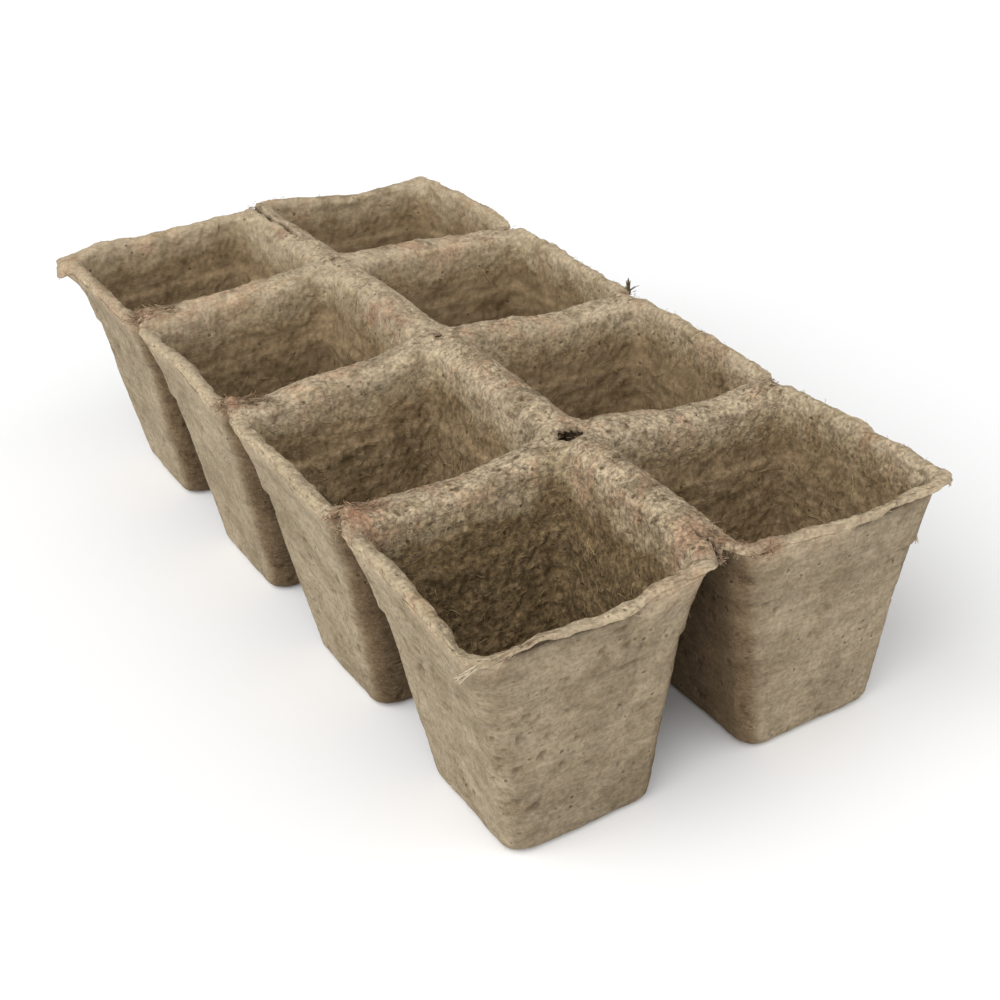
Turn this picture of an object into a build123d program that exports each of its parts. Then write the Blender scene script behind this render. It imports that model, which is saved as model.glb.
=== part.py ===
"""Tear-off tray of square plant pots moulded from peat and wood fibre.

Two columns of tapered pots hang together at their rims. A thin scored web fills each gap between two
neighbouring rims, so the tray flexes along the score lines and each pot can be torn off. Millimetres,
+Z up, the short side along X and the long side along Y. The origin is under the middle of the tray,
on the plane that the pots stand on.
"""
import os
from math import atan, degrees

from build123d import *

# Layout of the tray: column a is on the -X side, and row 1 is at the +Y end
COLUMNS = "ab"
ROW_COUNT = 4

# Outer form of one pot, with the flare, step and overhang given per side
HEIGHT = 82.0
RIM_WIDTH = 75.0
BASE_WIDTH = 47.0
LIP_THICKNESS = 2.4
LIP_OVERHANG = 1.6
COLLAR_HEIGHT = 22.5
COLLAR_FLARE = 3.2
SHOULDER_STEP = 1.3

# Shell
WALL = 2.4
FLOOR = 2.6
DRAIN_DIAMETER = 9.0

# Rounded corners and edges
RIM_CORNER = 3.5
COLLAR_CORNER = 8.0
BODY_CORNER = 7.0
BASE_EDGE = 4.0
MOUTH_EDGE = 1.4

# Tear webs
WEB_WIDTH = 5.0
WEB_THICKNESS = 1.8
WEB_SETBACK = 2.0
SCORE_WIDTH = 1.4
SCORE_DEPTH = 0.5

# Levels, widths and leans that follow from the sizes above
pitch = RIM_WIDTH + WEB_WIDTH
lip_underside = HEIGHT - LIP_THICKNESS
shoulder = HEIGHT - COLLAR_HEIGHT
inner_shoulder = shoulder + WALL
collar_top_width = RIM_WIDTH - 2 * LIP_OVERHANG
collar_bottom_width = collar_top_width - 2 * COLLAR_FLARE
body_top_width = collar_bottom_width - 2 * SHOULDER_STEP
collar_lean = COLLAR_FLARE / (lip_underside - shoulder)
body_lean = (body_top_width - BASE_WIDTH) / 2 / shoulder
web_length = RIM_WIDTH - 2 * (RIM_CORNER + WEB_SETBACK)
web_underside = HEIGHT - WEB_THICKNESS


def body_width(level):
    """Outer width of the body at a level, with its walls carried on past the shoulder."""
    return BASE_WIDTH + 2 * body_lean * level


def collar_width(level):
    """Outer width of the collar at a level, with its walls carried on up to the rim."""
    return collar_bottom_width + 2 * collar_lean * (level - shoulder)


def column_x(column):
    """Middle of a column of pots."""
    return (COLUMNS.index(column) - (len(COLUMNS) - 1) / 2) * pitch


def row_y(row):
    """Middle of a row of pots, counted from 1."""
    return ((ROW_COUNT + 1) / 2 - row) * pitch


def flared_block(low, high, top_width, lean, corner):
    """A square block between two levels that widens upwards, with rounded upright corners."""
    side_angle = 90 + degrees(atan(lean))
    with BuildPart() as block:
        for side_plane, mode in ((Plane.XZ, Mode.ADD), (Plane.YZ, Mode.INTERSECT)):
            with BuildSketch(side_plane):
                with Locations((0, low)):
                    Trapezoid(top_width, high - low, side_angle, align=(Align.CENTER, Align.MIN))
            extrude(amount=top_width, both=True, mode=mode)
        uprights = block.edges().group_by(Axis.Z)[1]
        fillet(uprights, corner)
    return block.part


def place(piece, label, x, y, turn=0):
    """Write a copy of a piece, turned about Z and moved to its place in the tray."""
    with BuildPart() as placed:
        with Locations(Location((x, y, 0), (0, 0, turn))):
            add(piece.part)
    placed.part.label = label
    export_step(placed.part, f"parts/{label}.step")


# Blocks of the pot's outer form, and of its hollow one wall further in, which leave a step on both
# faces of the wall where the collar begins
body_block = flared_block(0, inner_shoulder, body_width(inner_shoulder), body_lean, BODY_CORNER)
collar_block = flared_block(shoulder, lip_underside, collar_top_width, collar_lean, COLLAR_CORNER)
lower_hollow = flared_block(
    FLOOR, inner_shoulder, body_width(inner_shoulder) - 2 * WALL, body_lean, BODY_CORNER - WALL
)
upper_hollow = flared_block(
    inner_shoulder, HEIGHT, collar_width(HEIGHT) - 2 * WALL, collar_lean, COLLAR_CORNER - WALL
)

# Pot: tapered body, flared collar on a shoulder, and overhanging lip, hollowed and drained
with BuildPart() as pot:
    add(body_block)
    fillet(pot.faces().sort_by(Axis.Z)[0].edges(), BASE_EDGE)
    add(collar_block)
    with BuildSketch(Plane.XY.offset(lip_underside)):
        RectangleRounded(RIM_WIDTH, RIM_WIDTH, RIM_CORNER)
    extrude(amount=LIP_THICKNESS)
    add(lower_hollow, mode=Mode.SUBTRACT)
    add(upper_hollow, mode=Mode.SUBTRACT)
    fillet(pot.faces().sort_by(Axis.Z)[-1].inner_wires()[0].edges(), MOUTH_EDGE)
    with Locations((0, 0, FLOOR)):
        Hole(DRAIN_DIAMETER / 2)

# Tear web: a strip along X, level with the rims and scored above and below along its middle
with BuildPart() as web:
    with BuildSketch(Plane.YZ.offset(-web_length / 2)):
        with BuildLine():
            half_section = Polyline(
                (0, web_underside + SCORE_DEPTH),
                (SCORE_WIDTH / 2, web_underside),
                (WEB_WIDTH / 2, web_underside),
                (WEB_WIDTH / 2, HEIGHT),
                (SCORE_WIDTH / 2, HEIGHT),
                (0, HEIGHT - SCORE_DEPTH),
            )
            mirror(half_section, about=Plane.YZ)
        make_face()
    extrude(amount=web_length)

os.makedirs("parts", exist_ok=True)

rows = range(1, ROW_COUNT + 1)
for column in COLUMNS:
    for row in rows:
        place(pot, f"pot_{column}{row}", column_x(column), row_y(row))

# Webs between one row and the next, in each column
for column in COLUMNS:
    for row, next_row in zip(rows, rows[1:]):
        between = (row_y(row) + row_y(next_row)) / 2
        place(web, f"tear_web_{column}{row}_{column}{next_row}", column_x(column), between)

# Webs between one column and the next, in each row
for row in rows:
    for column, next_column in zip(COLUMNS, COLUMNS[1:]):
        between = (column_x(column) + column_x(next_column)) / 2
        place(web, f"tear_web_{column}{row}_{next_column}{row}", between, row_y(row), turn=90)
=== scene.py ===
"""Looks of a tear-off tray of plant pots moulded from peat and wood fibre.

Every pot is one closed skin, a grid of rings around the pot's walls, roughened by noise that depends only on
the place in the tray. The tear webs and the patches where four pots meet use the same noise, so rims and webs
meet without a step. Loose fibres are thin tubes. Shapes are in millimetres, and the meshes in metres.
"""

import bpy
import numpy as np
from mathutils import Matrix, Vector


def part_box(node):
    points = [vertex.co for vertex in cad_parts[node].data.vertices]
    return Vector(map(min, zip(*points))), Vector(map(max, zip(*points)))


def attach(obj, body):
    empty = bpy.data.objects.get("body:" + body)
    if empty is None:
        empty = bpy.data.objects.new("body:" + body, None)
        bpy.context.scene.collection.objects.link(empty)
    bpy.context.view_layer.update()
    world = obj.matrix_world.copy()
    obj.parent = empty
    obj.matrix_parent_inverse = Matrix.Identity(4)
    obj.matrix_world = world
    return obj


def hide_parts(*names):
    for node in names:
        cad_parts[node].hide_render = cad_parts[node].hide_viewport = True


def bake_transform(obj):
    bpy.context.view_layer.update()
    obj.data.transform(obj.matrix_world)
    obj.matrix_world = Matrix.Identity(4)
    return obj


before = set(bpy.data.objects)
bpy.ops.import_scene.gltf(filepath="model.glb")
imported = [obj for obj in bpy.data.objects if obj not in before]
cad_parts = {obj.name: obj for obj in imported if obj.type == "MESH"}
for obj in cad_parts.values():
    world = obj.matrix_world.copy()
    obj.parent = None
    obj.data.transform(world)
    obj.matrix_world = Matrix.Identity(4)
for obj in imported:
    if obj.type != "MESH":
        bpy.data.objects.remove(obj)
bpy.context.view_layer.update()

MM = 0.001
COLUMNS = "ab"
ROWS = "1234"
POTS = [column + row for column in COLUMNS for row in ROWS]

# Sizes read from the frame
pot_low, pot_high = (np.array(corner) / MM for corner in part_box("pot_a1"))
web_low, web_high = (np.array(corner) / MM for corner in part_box("tear_web_a1_a2"))
HEIGHT = pot_high[2]
RIM_HALF = (pot_high[0] - pot_low[0]) / 2
WEB_HALF_LENGTH = (web_high[0] - web_low[0]) / 2
WEB_HALF = (web_high[1] - web_low[1]) / 2
WEB_THICKNESS = web_high[2] - web_low[2]
PITCH = 2 * (RIM_HALF + WEB_HALF)
TRAY_HALF_X = PITCH / 2 + RIM_HALF
TRAY_HALF_Y = PITCH * 3 / 2 + RIM_HALF
ROW_Y = {row: (1.5 - index) * PITCH for index, row in enumerate(ROWS)}
COLUMN_X = {"a": -PITCH / 2, "b": PITCH / 2}
ROW_PAIRS = list(zip(ROWS, ROWS[1:]))
CROSS_LINES = {pair: (ROW_Y[pair[0]] + ROW_Y[pair[1]]) / 2 for pair in ROW_PAIRS}

# Sizes of the pot's section, as in the solids: half widths, levels and upright corner radii
BASE_HALF = 23.5
BODY_TOP_HALF = 31.4
COLLAR_LOW_HALF = 32.7
COLLAR_TOP_HALF = 35.9
MOUTH_HALF = 33.9
SHOULDER = 59.5
LIP_UNDERSIDE = 79.6
WALL = 2.4
FLOOR = 2.6
DRAIN_RADIUS = 4.5
RIM_CORNER, COLLAR_CORNER, BODY_CORNER = 3.5, 8.0, 7.0

# How coarse the fibre is inside the pots of each row, and of column b next to column a
INNER_COARSE = {"1": 0.6, "2": 0.7, "3": 0.9, "4": 1.15}
COLUMN_COARSE = {"a": 1.0, "b": 0.6}


# Noise and small helpers

# Factors that scramble the bits of a cell's number
SEED_FACTOR, SEED_START = 0x9E3779B1, 0x85EBCA6B
AXIS_FACTORS = (0x8DA6B343, 0xD8163841, 0xCB1AB31F)
SCRAMBLE, SCRAMBLE_SHIFT = np.uint64(0x2545F4914F6CDD1D), np.uint64(29)
# Brings the noise to about -1 to 1
NOISE_GAIN = 1.6
FROM_ABOVE = (1, 1, 0)


def hashed(cells, seed):
    """Repeatable random bits for whole-number cells."""
    mixed = np.full(cells.shape[:-1], seed * SEED_FACTOR + SEED_START, np.uint64)
    for axis, factor in enumerate(AXIS_FACTORS):
        mixed = mixed ^ (cells[..., axis].astype(np.int64).astype(np.uint64) * np.uint64(factor))
        mixed = mixed * SCRAMBLE
        mixed = mixed ^ (mixed >> SCRAMBLE_SHIFT)
    return mixed


def noise(points, cell, seed):
    """Smooth gradient noise, about -1 to 1, with features about as large as the cell."""
    scaled = np.asarray(points, float) / np.asarray(cell, float)
    corner = np.floor(scaled)
    inside = scaled - corner
    fade = inside ** 3 * (inside * (inside * 6 - 15) + 10)
    total = np.zeros(scaled.shape[:-1])
    for step in np.ndindex(2, 2, 2):
        bits = hashed(corner + step, seed)
        away = inside - step
        share = np.ones(total.shape)
        dot = np.zeros(total.shape)
        for axis in range(3):
            gradient = ((bits >> np.uint64(16 * axis)) & np.uint64(0xFFFF)).astype(float) / 32767.5 - 1
            dot += gradient * away[..., axis]
            share = share * (fade[..., axis] if step[axis] else 1 - fade[..., axis])
        total += share * dot
    return NOISE_GAIN * total


def layers(points, octaves, axis=0):
    """A sum of noises, each given by its cell, its height and its seed, which differs for each axis."""
    return sum(height * noise(points, cell, seed + axis) for cell, height, seed in octaves)


def smooth(low, high, value):
    """0 below low, 1 above high and a smooth step between them. With low above high it falls."""
    t = np.clip((np.asarray(value, float) - low) / (high - low), 0, 1)
    return t * t * (3 - 2 * t)


def patches(points, field):
    """Share of patches. A field gives the noise where they begin, where they are full, and its layers."""
    begin, full, *octaves = field
    return smooth(begin, full, layers(points, octaves))


def away_from(points, x, y):
    """Distance of points from a place, seen from above."""
    return np.hypot(points[..., 0] - x, points[..., 1] - y)


def unit(vectors):
    """Vectors brought to a length of 1."""
    return vectors / np.maximum(np.linalg.norm(vectors, axis=-1, keepdims=True), 1e-9)


# Section of a pot: corners of its outline, from the drain hole under the base, up the outside, over the lip
# and down the inside to the drain hole's top. Each has a half width, a level, an upright corner radius, the
# rounding of the outline there, and the spacing of the rings after it.
INNER_CORNER = COLLAR_CORNER - WALL
INNER_BODY_CORNER = BODY_CORNER - WALL
INNER_SHOULDER = SHOULDER + WALL
SECTION = {
    "drain_low": (DRAIN_RADIUS, 0.0, 1.5, 0.0, 2.0),
    "base_edge": (BASE_HALF, 0.0, BODY_CORNER, 4.0, 1.15),
    "shoulder_low": (BODY_TOP_HALF, SHOULDER - 0.7, BODY_CORNER, 1.2, 0.6),
    "shoulder_top": (COLLAR_LOW_HALF, SHOULDER + 0.7, COLLAR_CORNER, 1.2, 1.0),
    "lip_root": (COLLAR_TOP_HALF - 0.3, LIP_UNDERSIDE - 0.2, 7.0, 0.5, 0.45),
    "lip_low": (RIM_HALF, LIP_UNDERSIDE + 0.4, RIM_CORNER, 0.5, 0.5),
    "lip_top": (RIM_HALF, HEIGHT, RIM_CORNER, 0.0, 0.5),
    "mouth": (MOUTH_HALF, HEIGHT, INNER_CORNER, 2.8, 0.78),
    "step_top": (COLLAR_LOW_HALF + 0.4 - WALL, INNER_SHOULDER + 0.8, INNER_CORNER, 2.5, 0.7),
    "step_low": (BODY_TOP_HALF + 0.3 - WALL, INNER_SHOULDER - 0.8, INNER_BODY_CORNER, 2.5, 0.85),
    "floor_edge": (BASE_HALF - 2.05, FLOOR, INNER_BODY_CORNER, 2.6, 1.2),
    "drain_top": (DRAIN_RADIUS, FLOOR, 1.5, 0.0, 0.9),
}
KEY = {name: index for index, name in enumerate(SECTION)}
HALVES, LEVELS, CORNERS, ROUNDINGS, SPACINGS = np.array(list(SECTION.values())).T
# Share of the way to the next corner that stands for a corner's rounding
ROUNDED_SHARE = 0.001
DRAIN_STEPS = 3

# Grid around a pot: columns of points on each side and in each corner
SIDE_POINTS, CORNER_POINTS = 92, 16
# Largest corner radius as a share of the half width
MOST_CORNER = 0.6
# Half widths between which the rings of the floor turn from square to round
ROUND_FLOOR = (BASE_HALF - 5, DRAIN_RADIUS + 2)


def section_rings():
    """Half width, level and place of each ring. The place is its index among the corners, with a fraction."""
    corners = np.stack([HALVES, LEVELS], -1)
    rings = [(*corners[0], 0.0)]
    leave = corners[0]
    for k in range(1, len(SECTION)):
        here = corners[k]
        towards = unit(leave - here)
        setback = 0.0
        if ROUNDINGS[k]:
            onward = unit(corners[k + 1] - here)
            half_angle = np.arccos(np.clip(towards @ onward, -1, 1)) / 2
            setback = ROUNDINGS[k] / np.tan(half_angle)
        enter = here + towards * setback
        steps = max(1, round(np.linalg.norm(enter - leave) / SPACINGS[k - 1]))
        for i in range(1, steps + 1):
            point = leave + (enter - leave) * i / steps
            rings.append((*point, k - 1 + i / steps * (1 - ROUNDED_SHARE if setback else 1)))
        leave = enter
        if setback:
            turn = np.pi - 2 * half_angle
            centre = here + unit(towards + onward) * ROUNDINGS[k] / np.sin(half_angle)
            steps = max(2, round(ROUNDINGS[k] * turn / min(SPACINGS[k - 1], SPACINGS[k])))
            leave = here + onward * setback
            start, end = enter - centre, leave - centre
            for i in range(1, steps + 1):
                t = turn * i / steps
                spoke = (start * np.sin(turn - t) + end * np.sin(t)) / np.sin(turn)
                rings.append((*(centre + spoke), k + ROUNDED_SHARE * i / steps))
    for i in range(1, DRAIN_STEPS):
        down = i / DRAIN_STEPS
        rings.append((DRAIN_RADIUS, FLOOR * (1 - down), len(SECTION) - 1 + down))
    return np.array(rings).T


def ring_near(place):
    """Number of the ring nearest to a place on the section."""
    return int(np.abs(section_rings()[2] - place).argmin())


def square_rings(half, corner):
    """Points on squares with rounded corners, by ring and column, and the columns' outward directions."""
    half, corner = half[:, None], corner[:, None]
    turn = np.exp(0.5j * np.pi * np.arange(1, CORNER_POINTS + 1) / (CORNER_POINTS + 1))
    side = half + 1j * (half - corner) * np.linspace(-1, 1, SIDE_POINTS)
    bend = (half - corner) * (1 + 1j) + corner * turn
    quarter = np.concatenate([side, bend], 1)
    out = np.concatenate([np.ones(SIDE_POINTS), turn])
    points = np.concatenate([quarter * 1j ** k for k in range(4)], 1)
    outward = np.concatenate([out * 1j ** k for k in range(4)])
    return np.stack([points.real, points.imag], -1), np.stack([outward.real, outward.imag], -1)


def plain_skin(pot):
    """A pot's skin while it is smooth: points, outward directions of columns, normals and places of rings."""
    half, level, place = section_rings()
    corner = np.minimum(np.interp(place, range(len(SECTION)), CORNERS), half * MOST_CORNER)
    flat, outward = square_rings(half, corner)
    angle = np.arctan2(flat[..., 1], flat[..., 0])
    circle = np.stack([np.cos(angle), np.sin(angle)], -1) * half[:, None, None]
    roundness = (smooth(*ROUND_FLOOR, half) * (level < FLOOR + 0.5))[:, None, None]
    flat = flat * (1 - roundness) + circle * roundness
    slope = unit(np.stack([np.gradient(level), -np.gradient(half)], -1))
    grid = flat.shape[:2]
    points = np.dstack([flat, np.broadcast_to(level[:, None], grid)])
    points = points + (COLUMN_X[pot[0]], ROW_Y[pot[1]], 0)
    normal = np.dstack([outward * slope[:, None, :1], np.broadcast_to(slope[:, 1:], grid)])
    return points, outward, normal, np.broadcast_to(place[:, None], grid)


# Shape of the moulding, shared by the pots, the webs and the patches

# Warp of the moulding: the rims stand higher along the centre line and sag at the outer sides
CROWN_RISE, BOW_RISE = 1.0, 3.0
LEFT_SAG, RIGHT_SAG = 0.6, 2.6
# Sideways lean, as layers of noise
LEAN = ((55, 0.9, 21), (21, 0.35, 23))
# Places where the rims and ridges rise or dip: place in the tray, height and reach
LOCAL_RISES = [
    (-32, -80, -3.2, 20), (-25, 0, -2.0, 16), (-62, 80, 1.8, 18), (-34, -157, -3.2, 22), (42, -157, -3.0, 20),
    (-77, -106, 1.8, 18), (-77, -35, 2.8, 24), (-77, 35, 4.0, 24), (-62, 156, 3.0, 10), (48, -80, -4.4, 24),
    (46, 0, -2.8, 24), (62, 80, -2.4, 15), (50, 157, -1.6, 20), (77, 157, -3.6, 20), (-73, -80, 2.6, 7),
    (-73, 1, 2.8, 6), (-61, 2, -1.8, 8), (-71, 82, 2.4, 7), (-77, -64, 1.4, 12), (42, 157, -2.2, 14),
    (8, 157, 1.2, 10), (18, -157, -1.0, 14), (14, -79, 1.4, 5),
]

# Ridges between joined pots: their rounded top, half their width from mouth to mouth, and the distances from
# the tray's outline and from their middle between which they fade
RIDGE_CROWN, RIDGE_HALF = 1.0, 6.5
RIDGE_END, RIDGE_SIDE = (1.5, RIM_CORNER + 2), (9, 5)
# Waves and crumbs of rims and ridges, as layers of noise, and the share of the crumbs that free rims have
RIM_WAVES = ((17, 0.85, 11), (6.5, 0.70, 12))
RIM_CRUMBS = ((2.8, 0.42, 13), (1.5, 0.26, 14))
FREE_CRUMBS = 0.45

# Outer ends of the webs where the fibre is torn and reddish: place, reach along X and along Y, and strength
TORN_ENDS = [
    (-TRAY_HALF_X + 8, CROSS_LINES["3", "4"], 13, 7, 1.0),
    (-TRAY_HALF_X + 6, CROSS_LINES["2", "3"], 10, 7, 0.9),
    (-TRAY_HALF_X + 5, CROSS_LINES["1", "2"], 8, 6, 0.4),
    (1, -TRAY_HALF_Y + 7, 8, 8, 0.6),
    (11, -TRAY_HALF_Y + 3, 8, 8, 0.6),
]
TATTERS = ((3.2, 1.3, 83), (1.6, 0.8, 86))


def ridge_fields(points):
    """1 on the ridges between joined pots and 0 on free rims, and how far the ridges' tops stand up."""
    x, y = np.abs(points[..., 0]), points[..., 1]
    to_cross_line = np.min([np.abs(y - line) for line in CROSS_LINES.values()], axis=0)
    joined = np.zeros(x.shape)
    crown = np.zeros(x.shape)
    for distance, to_end in ((x, TRAY_HALF_Y - np.abs(y)), (to_cross_line, TRAY_HALF_X - x)):
        reach = smooth(*RIDGE_END, to_end)
        joined = np.maximum(joined, reach * smooth(*RIDGE_SIDE, distance))
        crown = np.maximum(crown, reach * RIDGE_CROWN * np.clip(1 - (distance / RIDGE_HALF) ** 2, 0, 1))
    return joined, crown


def rim_rise(points):
    """Rise and fall of the rims, by the place seen from above."""
    flat = points * FROM_ABOVE
    joined, crown = ridge_fields(points)
    crumbs = layers(flat, RIM_CRUMBS) * (FREE_CRUMBS + (1 - FREE_CRUMBS) * joined)
    return layers(flat, RIM_WAVES) + crumbs + crown


def near_torn_end(points):
    """Share by which a place lies at a torn end of a web, as seen from above."""
    share = np.zeros(points.shape[:-1])
    for x, y, reach_x, reach_y, strength in TORN_ENDS:
        near = smooth(1, 0.3, np.hypot((points[..., 0] - x) / reach_x, (points[..., 1] - y) / reach_y))
        share = np.maximum(share, strength * near)
    return share


def tattered(points):
    """How far rims and webs are pulled out of line around the torn ends."""
    pull = [layers(points * FROM_ABOVE, TATTERS, axis) for axis in range(3)]
    return np.stack(pull, -1) * near_torn_end(points)[..., None]


def warp(points):
    """Lean and sag of the whole moulding: none at the base and most at the rims."""
    moved = points.copy()
    share = np.clip(points[..., 2] / HEIGHT, 0, 1.05) ** 2
    across = np.clip(np.abs(points[..., 0]) / TRAY_HALF_X, 0, 1)
    middle = np.clip(1 - (points[..., 1] / TRAY_HALF_Y) ** 2, 0, 1)
    sag = np.where(points[..., 0] < 0, LEFT_SAG, RIGHT_SAG)
    rise = (CROWN_RISE + BOW_RISE * middle) * (1 - across) - sag * across
    for x, y, height, reach in LOCAL_RISES:
        rise += height * np.exp(-((points[..., 0] - x) ** 2 + (points[..., 1] - y) ** 2) / reach ** 2)
    moved[..., 2] += share * rise
    for axis in range(2):
        moved[..., axis] += share * layers(points, LEAN, axis)
    return moved


# Skin of a pot

# Zones of the section and profiles of the lip: knots, each a corner, how far past its place, and a value
PROFILES = {
    "outside": (("base_edge", -0.1, 0), ("base_edge", 0, 1), ("lip_root", -0.1, 1), ("lip_root", 0, 0)),
    "lip": (("lip_root", -0.1, 0), ("lip_root", 0.3, 1), ("mouth", -0.2, 1), ("mouth", 0.12, 0)),
    "band": (("mouth", -0.2, 0), ("mouth", 0.12, 1), ("step_top", -0.3, 1), ("step_low", 0, 0)),
    "inside": (("step_top", -0.3, 0), ("step_low", 0, 1), ("drain_top", -0.1, 1), ("drain_top", 0, 0)),
    "edge": (("lip_root", 0, 0), ("lip_low", 0, 1), ("lip_top", 0, 1), ("mouth", 0, 0)),
    "under_lip": (("lip_root", -0.11, 0), ("lip_root", -0.06, 1), ("lip_low", -0.4, 1), ("lip_low", -0.1, 0)),
    "bead": (("lip_root", -0.6, 0), ("lip_root", 0, 1.5), ("lip_low", 0, -0.2), ("lip_top", 0, -0.7),
             ("mouth", -0.5, 0), ("mouth", 0, -1.0), ("mouth", 0.5, 0)),
    "rolled_off": (("lip_low", 0, 0), ("lip_top", 0, 1.1), ("mouth", -0.5, 0)),
    "rolled": (("lip_root", -0.4, 0), ("lip_root", 0, 1)),
    "mouth_edge": (("mouth", -0.5, 0), ("mouth", 0, 1), ("mouth", 0.3, 0)),
    "thin": (("mouth", -0.6, 0), ("mouth", 0, 1), ("mouth", 0.5, 0)),
    "ear_out": (("lip_root", -0.6, 0), ("lip_root", 0, 0.7), ("lip_low", 0, 1), ("lip_top", 0, 1),
                ("mouth", 0, 0.2), ("mouth", 0.5, 0)),
    "ear_down": (("lip_root", -0.6, 0), ("lip_root", 0, 1), ("lip_low", 0, 0.9), ("lip_top", 0, 0.2),
                 ("mouth", 0, 0)),
}

# Relief, as layers of noise: dents and level streaks outside, clumps and lumps inside, and lumps of the band
DENTS = ((24, 0.40, 34), (8, 0.20, 35), (3.4, 0.13, 36), ((7, 7, 1.6), 0.08, 31))
CLUMPS = ((13, 0.35, 41), ((5.2, 5.2, 3), 0.42, 42))
LUMPS = ((2.4, 0.50, 43), (1.6, 0.30, 44))
BAND_LUMPS = ((11, 0.35, 45), (4.4, 0.36, 46), (2.1, 0.34, 47), (1.5, 0.2, 48))
# Small pits and short creases outside, the areas where they are found, and depths of these and under the lip
PITS, PIT_AREAS = (0.42, 0.66, ((3.6, 3.6, 2.6), 1, 32)), (-0.35, 0.2, (16, 1, 33))
CREASES, CREASE_AREAS = (0.62, 0.8, ((7, 7, 2.2), 1, 38)), (0.1, 0.5, (19, 1, 39))
MARK_DEPTH, LIP_ROOT_DEPTH = 0.6, 0.5

# Free rims, as layers of noise: torn in and out about a setback, and waves of their edge and of the mouth
RAGGED, RAGGED_SETBACK = ((10, 0.9, 51), (4, 0.45, 52), (1.8, 0.25, 53)), 0.3
EDGE_WAVES = ((14, 0.9, 54),)
MOUTH_WAVES = ((7, 0.9, 49), (3, 0.5, 50))
# Where rims are rounded off flush with the wall, apart from the left side: noise, and spots with their reach
FLUSH_NOISE, FLUSH_SETBACK = ((26, 1, 55),), 0.5
FLUSH_FADE, SPOT_STRENGTH = (0.05, 0.5), 1.3
FLUSH_SPOTS = [(-6, -TRAY_HALF_Y, 20), (18, -TRAY_HALF_Y, 24), (-76, -TRAY_HALF_Y, 9)]
# A rim corner where the mouth reaches further out: place and reach, and by how much
THIN_CORNER, THIN_BY = (-73, -TRAY_HALF_Y + 4.5, 19), 2.7
# A rim corner where the lip is pressed out into an ear: place and reach, how far out and how far down
EAR, EAR_OUT, EAR_DOWN = (-TRAY_HALF_X, TRAY_HALF_Y, 11), 3.6, 4.0

# Lowest level of a skin, just clear of the floor that it stands on
LEAST_LEVEL = 0.02
# Depth below the rim at which walls that face another pot have their full shade
FACING_DEPTH = 10


def profile(place, knots):
    """Values along the section."""
    return np.interp(place, [KEY[name] + past for name, past, _ in knots], [value for *_, value in knots])


def flush_share(points, outward):
    """Share by which a rim would be rounded off flush with the wall, if it is free."""
    patchy = layers(points * FROM_ABOVE, FLUSH_NOISE) - FLUSH_SETBACK
    rounded = np.where(outward[:, 0] < -0.7, 1.0, patchy)
    for x, y, reach in FLUSH_SPOTS:
        rounded = np.maximum(rounded, SPOT_STRENGTH - away_from(points, x, y) / reach)
    return smooth(*FLUSH_FADE, rounded)


def shaped_rim(points, outward, on, free, flush):
    """A skin with its rim wavy, and where it is free, torn in and out or rounded off flush with the wall."""
    edge = free * on["edge"]
    thin, ear = (smooth(reach, reach / 3, away_from(points, x, y)) for x, y, reach in (THIN_CORNER, EAR))
    push = edge * (layers(points, RAGGED) - RAGGED_SETBACK) * (1 - 0.5 * flush) + on["bead"] * flush
    push += free * on["mouth_edge"] * layers(points, MOUTH_WAVES)
    push += THIN_BY * thin * on["thin"]
    push += EAR_OUT * ear * on["ear_out"]
    points[..., 2] -= EAR_DOWN * ear * on["ear_down"]
    points[..., :2] += push[..., None] * outward
    rise = rim_rise(points) + edge * layers(points * FROM_ABOVE, EDGE_WAVES) - flush * on["rolled_off"]
    points[..., 2] += np.maximum(on["lip"], 0.5 * on["band"]) * rise
    points = warp(points + on["lip"][..., None] * tattered(points))
    points[..., 2] = np.maximum(points[..., 2], LEAST_LEVEL)
    return points


def facing_share(pot, outward):
    """Share by which the columns of a pot's skin face another pot."""
    ways = [(1, 0) if pot[0] == COLUMNS[0] else (-1, 0)]
    if pot[1] != ROWS[0]:
        ways.append((0, 1))
    if pot[1] != ROWS[-1]:
        ways.append((0, -1))
    return np.clip(sum(smooth(0.15, 0.8, outward @ way) for way in ways), 0, 1)


def pot_skin(pot):
    """The rough skin of one pot: points and zones on a grid of rings and columns."""
    points, outward, normal, place = plain_skin(pot)
    on = {name: profile(place, knots) for name, knots in PROFILES.items()}
    free = 1 - ridge_fields(points)[0]
    flush = free * flush_share(points, outward)
    pit = patches(points, PITS) * patches(points, PIT_AREAS)
    mark = np.maximum(pit, patches(points, CREASES) * patches(points, CREASE_AREAS))
    clump = layers(points, CLUMPS)
    clump += INNER_COARSE[pot[1]] * COLUMN_COARSE[pot[0]] * layers(points, LUMPS)
    under_lip = np.clip(free - flush, 0, 1) * on["under_lip"]
    depth = on["outside"] * (layers(points, DENTS) - MARK_DEPTH * mark) + on["inside"] * clump
    depth += on["band"] * layers(points, BAND_LUMPS) - LIP_ROOT_DEPTH * under_lip
    points = shaped_rim(points + normal * depth[..., None], outward, on, free, flush)
    gap_shade = facing_share(pot, outward) * smooth(HEIGHT, HEIGHT - FACING_DEPTH, points[..., 2])
    zones = {name: on[name] for name in ("outside", "lip", "band", "inside")}
    zones |= {"place": place, "free": free, "flush": flush, "clump": clump, "under_lip": under_lip}
    zones |= {"mark": on["outside"] * mark, "gap_shade": on["outside"] * gap_shade, "rolled": flush * on["rolled"]}
    zones["left"] = np.broadcast_to(smooth(0.5, 0.9, -outward[:, 0]), place.shape)
    return points, zones


# Skins of the webs and of the patches where four rims meet

# Spacing of a web's sections along it, and points across it
WEB_SPACING, WEB_STEPS = 0.7, 11
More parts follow.
